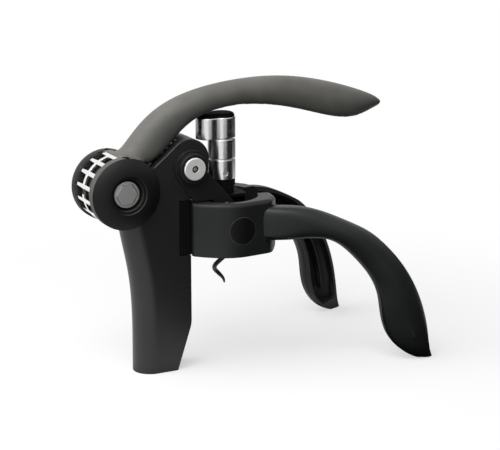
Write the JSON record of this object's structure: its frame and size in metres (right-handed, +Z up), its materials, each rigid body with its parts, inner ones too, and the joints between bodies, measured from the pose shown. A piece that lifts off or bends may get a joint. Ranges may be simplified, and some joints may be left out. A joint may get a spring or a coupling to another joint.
{
  "type": "lever corkscrew",
  "caption": "Lever corkscrew on a leg and two splayed clamp arms: a geared lever lifts a worm carriage above hinged jaws that grip the bottle neck.",
  "frame": {"origin": "centre of the bounding box on the table, below the worm's carriage and between the feet", "axes": "+X from the hub towards the feet of the clamp arms, +Y towards the rear clamp arm, +Z up from the table"},
  "size_m": [0.1754, 0.1072, 0.1471],
  "materials": {
    "body_black": "matte",
    "arm_black": "soft matte",
    "lever_grey": "soft matte",
    "link_black": "satin",
    "column_silver": "polished",
    "lid_black": "gloss",
    "cage_chrome": "polished",
    "pin_steel": "satin",
    "gear_steel": "satin",
    "bush_grey": "satin",
    "worm_black": "non-stick coat",
    "pad_rubber": "matte",
    "badge_black": "satin"
  },
  "bodies": {
    "frame": {"body_casing": "body_black", "hub_bushes": "bush_grey", "rocker_bushes": "bush_grey", "idler_pin": "pin_steel", "hinge_block": "body_black", "jaw_hinge_pins": "pin_steel", "worm_guide": "body_black"},
    "lever": {"lever": "lever_grey", "rib_cage": "cage_chrome", "hub_axle": "pin_steel", "hub_gear": "gear_steel"},
    "idler": {"idler_gear": "gear_steel"},
    "rocker": {"rocker_gear": "gear_steel", "rocker_axle": "pin_steel", "front_rocker_arm": "link_black", "rear_rocker_arm": "link_black", "front_pivot_cap": "pin_steel", "rear_pivot_cap": "pin_steel", "drive_pins": "pin_steel"},
    "carriage": {"carriage_block": "body_black", "column_core": "pin_steel", "lower_sleeve": "column_silver", "upper_sleeve": "column_silver", "set_screw": "column_silver", "column_cap": "column_silver", "cap_lid": "lid_black"},
    "worm": {"worm": "worm_black", "worm_chuck": "pin_steel"},
    "front_jaw": {"front_jaw": "arm_black", "front_jaw_pad": "pad_rubber", "badge_inlay": "badge_black"},
    "rear_jaw": {"rear_jaw": "arm_black", "rear_jaw_pad": "pad_rubber"}
  },
  "joints": [
    {"name": "carriage_slide", "type": "slide", "parent": "frame", "child": "carriage", "axis": [0, 0, 1], "range_m": [0, 0.04344]},
    {"name": "lever_swing", "type": "hinge", "parent": "frame", "child": "lever", "pos_m": [-0.06972, 0, 0.0968], "axis": [0, -1, 0], "range_deg": [0, 97.5]},
    {"name": "rocker_swing", "type": "hinge", "parent": "frame", "child": "rocker", "pos_m": [-0.03347, 0, 0.10617], "axis": [0, -1, 0], "range_deg": [0, 98]},
    {"name": "idler_spin", "type": "hinge", "parent": "frame", "child": "idler", "pos_m": [-0.05159, 0, 0.10149], "axis": [0, -1, 0], "range_deg": [-197, 0]},
    {"name": "worm_spin", "type": "hinge", "parent": "carriage", "child": "worm", "pos_m": [-0.01112, 0, 0.0776], "axis": [0, 0, 1], "range_deg": [0, 935]},
    {"name": "front_jaw_hinge", "type": "hinge", "parent": "frame", "child": "front_jaw", "pos_m": [-0.02952, -0.005, 0.0602], "axis": [0, 0, 1], "range_deg": [0, 11]},
    {"name": "rear_jaw_hinge", "type": "hinge", "parent": "frame", "child": "rear_jaw", "pos_m": [-0.02952, 0.005, 0.0602], "axis": [0, 0, -1], "range_deg": [0, 11]}
  ],
  "couplings": [
    {"joint": "lever_swing", "follows": "carriage_slide", "rad_per_m": 38.973},
    {"joint": "rocker_swing", "follows": "carriage_slide", "rad_per_m": 38.973},
    {"joint": "idler_spin", "follows": "carriage_slide", "rad_per_m": -77.946},
    {"joint": "worm_spin", "follows": "carriage_slide", "rad_per_m": 261.8}
  ]
}
